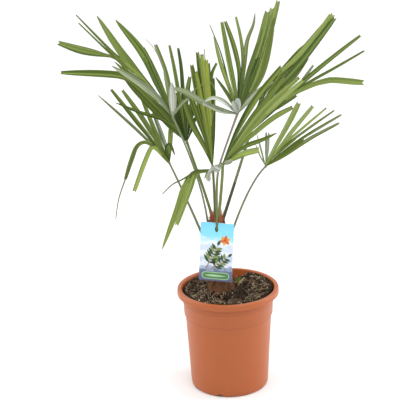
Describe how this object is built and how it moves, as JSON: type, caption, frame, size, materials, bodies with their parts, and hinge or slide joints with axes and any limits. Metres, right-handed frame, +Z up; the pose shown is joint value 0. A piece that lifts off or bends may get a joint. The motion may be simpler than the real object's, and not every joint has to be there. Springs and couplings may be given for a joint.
{
  "type": "potted chinese windmill palm",
  "caption": "Young windmill palm with fan-shaped leaves on slender stalks, a short fibrous trunk and a plain picture label, in a round plastic nursery pot filled with compost.",
  "frame": {"origin": "centre of the pot's flat underside", "axes": "+Z up, -Y towards the front of the plant, +X to the right as the front is seen"},
  "size_m": [0.6312, 0.4245, 0.7992],
  "materials": {
    "pot": "terracotta-coloured plastic with a soft sheen",
    "compost": "dark crumbly compost with bark fibres",
    "trunk": "brown fibrous leaf bases",
    "stalk": "satin olive-green leaf stalk",
    "leaf": "pleated green leaf, paler underneath",
    "card": "printed card with a clear coat"
  },
  "bodies": {
    "root": {"pot": "pot", "compost": "compost", "trunk": "trunk", "stalk_left": "stalk", "stalk_back_left": "stalk", "stalk_centre": "stalk", "stalk_front": "stalk", "stalk_back_right": "stalk", "stalk_low_left": "stalk", "stalk_right": "stalk", "stalk_top": "stalk", "fan_left": "leaf", "fan_back_left": "leaf", "fan_low_left": "leaf", "fan_low_left_droop": "leaf", "fan_centre": "leaf", "fan_top": "leaf", "fan_front": "leaf", "fan_front_droop": "leaf", "fan_back_right": "leaf", "fan_right": "leaf", "basal_shoot": "leaf", "label_card": "card"}
  },
  "joints": []
}
